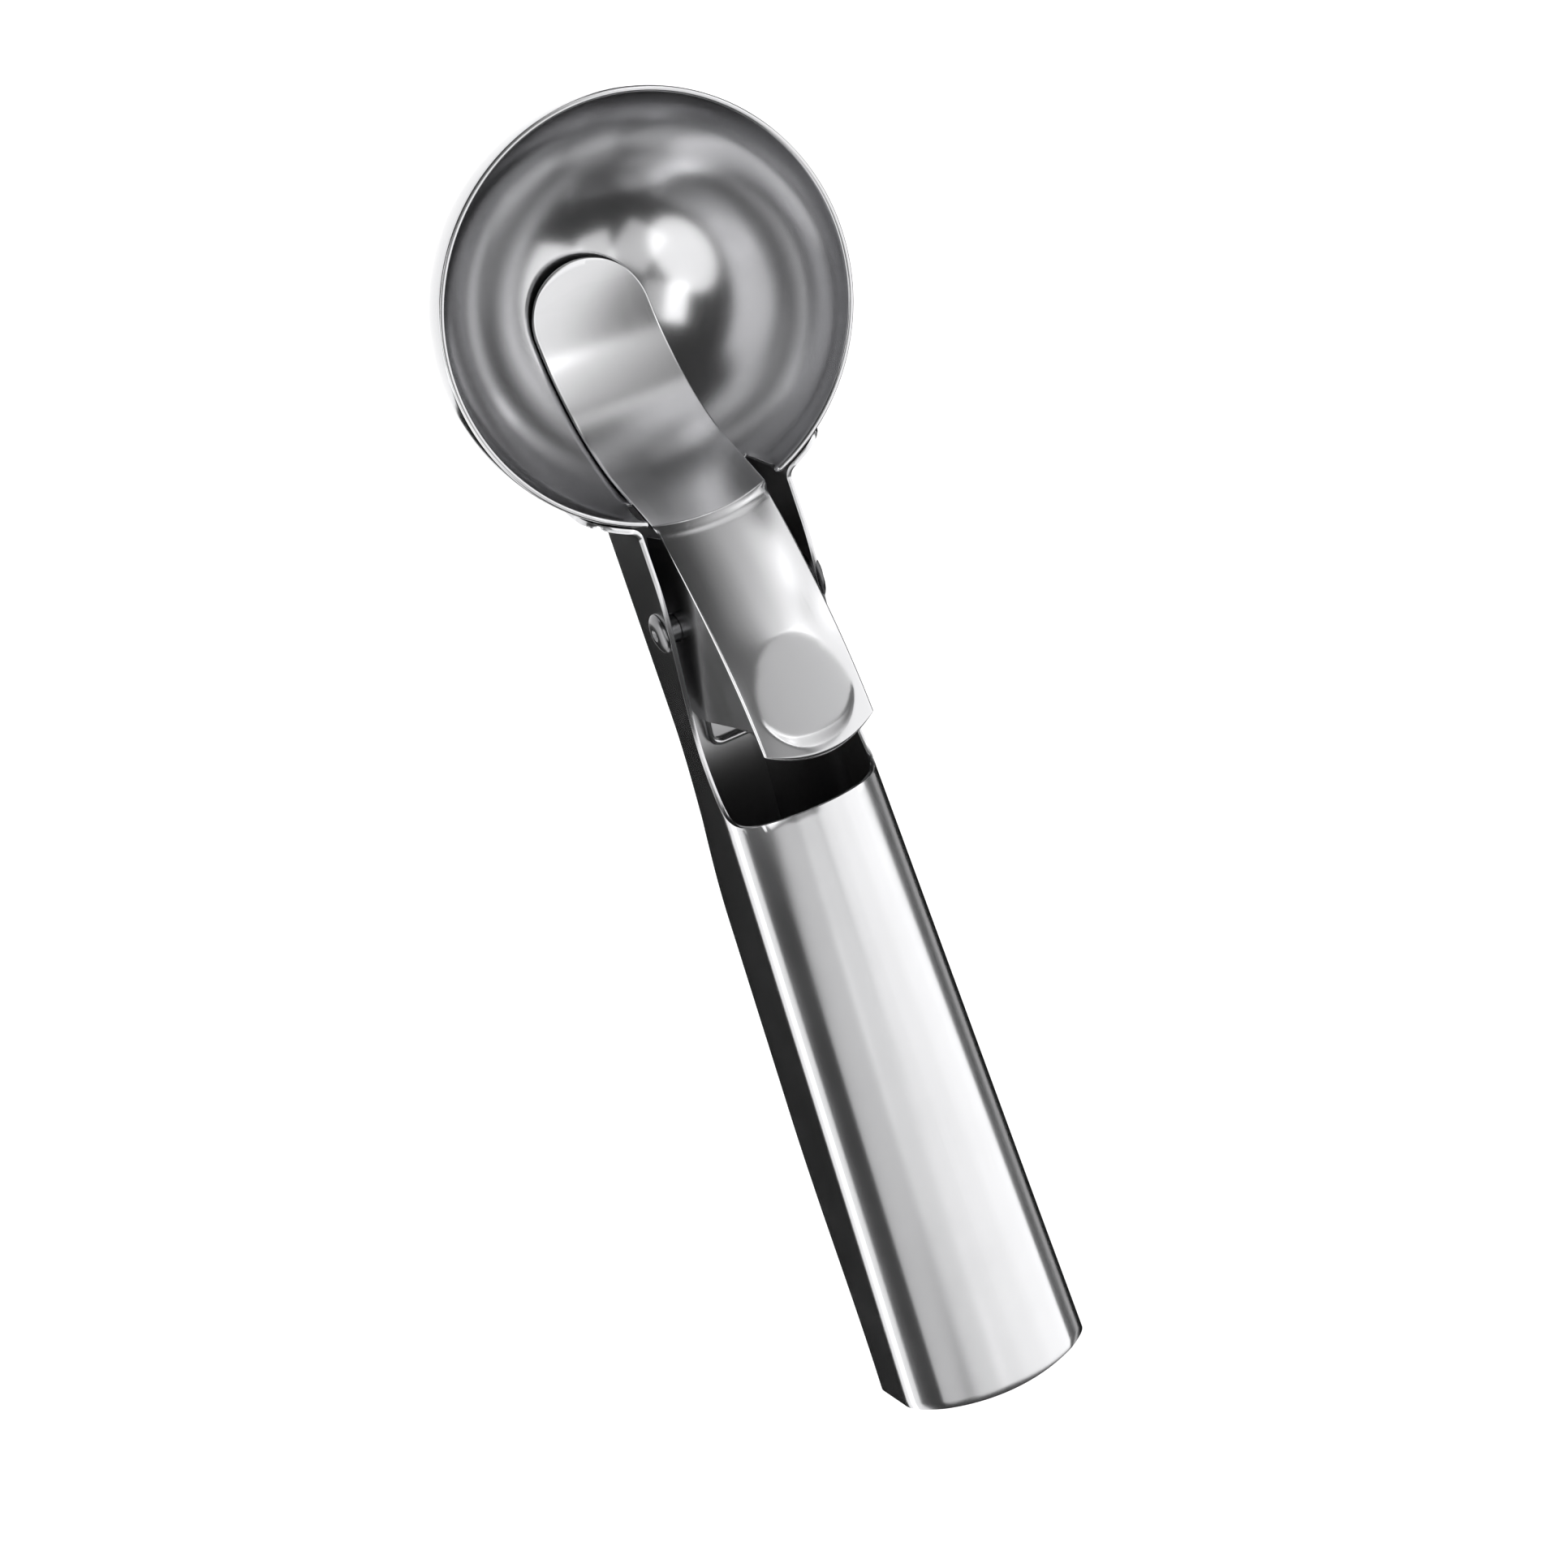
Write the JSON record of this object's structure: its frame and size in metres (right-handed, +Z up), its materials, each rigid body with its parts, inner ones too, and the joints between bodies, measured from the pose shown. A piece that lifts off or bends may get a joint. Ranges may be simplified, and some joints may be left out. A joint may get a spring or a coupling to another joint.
{
  "type": "ice cream scoop",
  "caption": "Stainless steel ice cream scoop with a half-ball bowl, a hollow flared handle and a sprung thumb lever whose tongue sweeps the bowl to release the ball.",
  "frame": {"origin": "on the ground under the middle of the scoop's box, with the bowl's bottom at z 0", "axes": "+X from the handle to the bowl, +Y to the left of the user's hand, +Z up out of the open bowl"},
  "size_m": [0.197, 0.06, 0.0425],
  "materials": {
    "bowl_steel": "satin stainless steel, spun and polished",
    "handle_steel": "satin polished stainless steel sheet",
    "lever_steel": "satin polished stainless steel sheet",
    "pin_steel": "polished steel rivet",
    "spring_wire": "bright drawn spring wire"
  },
  "bodies": {
    "handle": {"handle": "handle_steel", "bowl": "bowl_steel", "pivot_pin": "pin_steel", "return_spring": "spring_wire"},
    "lever": {"lever": "lever_steel"}
  },
  "joints": [
    {"name": "lever_press", "type": "hinge", "parent": "handle", "child": "lever", "pos_m": [0.0245, 0, 0.0245], "axis": [0, -1, 0], "range_deg": [0, 25], "stiffness_Nm_per_rad": 0.5, "springref_deg": -20.05, "deforming": ["return_spring"]}
  ]
}
